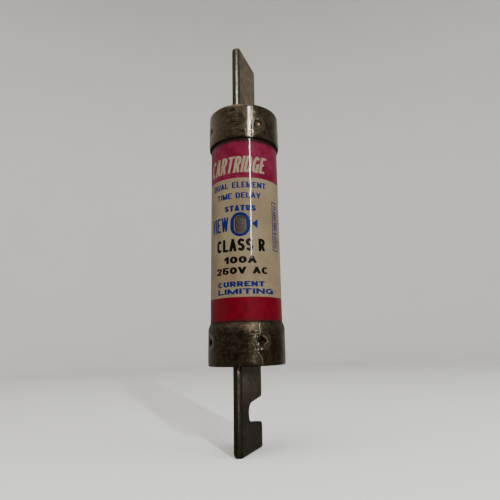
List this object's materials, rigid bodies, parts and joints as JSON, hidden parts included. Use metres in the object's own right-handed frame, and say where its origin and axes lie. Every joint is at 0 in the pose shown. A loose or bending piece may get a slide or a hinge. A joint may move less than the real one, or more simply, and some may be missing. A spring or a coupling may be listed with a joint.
{
  "type": "knife-blade cartridge fuse",
  "caption": "Tubular cartridge fuse with metal end caps, flat knife blades, one of them notched, a paper label with a blown-fuse window, and its melting links and spring trigger inside.",
  "frame": {"origin": "centre of the fuse, on its long axis and midway between the blades' tips", "axes": "+Z along the fuse from the notched blade to the plain blade, X square to the blades' wide faces, +Y towards the mouth of the rejection notch; the label's window faces -Y"},
  "size_m": [0.027, 0.027, 0.1492],
  "materials": {
    "tube_fibre": "glass-melamine laminate, brown, satin",
    "label_paper": "glazed label, cream with crimson bands",
    "clear_film": "clear film",
    "indicator_coat": "grey-brown indicating coat",
    "cap_metal": "tarnished brass with scratches",
    "blade_metal": "tarnished copper alloy with scratches",
    "pin_brass": "dull brass",
    "block_brass": "turned brass",
    "link_copper": "bright copper",
    "solder": "bright tin alloy",
    "spring_steel": "drawn steel wire",
    "quartz_sand": "packed quartz sand",
    "red_fibre": "vulcanised fibre",
    "grey_fibre": "grey insulating fibre"
  },
  "bodies": {
    "case": {"body_tube": "tube_fibre", "label_sleeve": "label_paper", "indicator_lens": "clear_film", "indicator_pad": "indicator_coat", "indicator_wire": "spring_steel", "upper_cap": "cap_metal", "upper_blade": "blade_metal", "upper_sealing_washer": "red_fibre", "upper_pin_front_right": "pin_brass", "upper_pin_back_right": "pin_brass", "upper_pin_back_left": "pin_brass", "upper_pin_front_left": "pin_brass", "upper_link_strip_right": "link_copper", "upper_link_strip_left": "link_copper", "upper_end_block": "block_brass", "upper_barrier_disc": "red_fibre", "upper_sand_filler": "quartz_sand", "upper_fill_plug": "red_fibre", "lower_cap": "cap_metal", "lower_blade": "blade_metal", "lower_sealing_washer": "red_fibre", "lower_pin_front_right": "pin_brass", "lower_pin_back_right": "pin_brass", "lower_pin_back_left": "pin_brass", "lower_pin_front_left": "pin_brass", "lower_link_strip_right": "link_copper", "lower_link_strip_left": "link_copper", "lower_end_block": "block_brass", "lower_barrier_disc": "red_fibre", "lower_sand_filler": "quartz_sand", "chamber_liner": "grey_fibre", "heat_absorber": "link_copper", "solder_ring": "solder", "spring_seat_washer": "red_fibre", "trigger_spring": "spring_steel", "stop_washer": "red_fibre", "contact_sleeve": "link_copper"},
    "trigger": {"trigger_plunger": "link_copper"}
  },
  "joints": [
    {"name": "trigger_release", "type": "slide", "parent": "case", "child": "trigger", "axis": [0, 0, 1], "range_m": [0, 0.006], "deforming": ["trigger_spring"]}
  ]
}
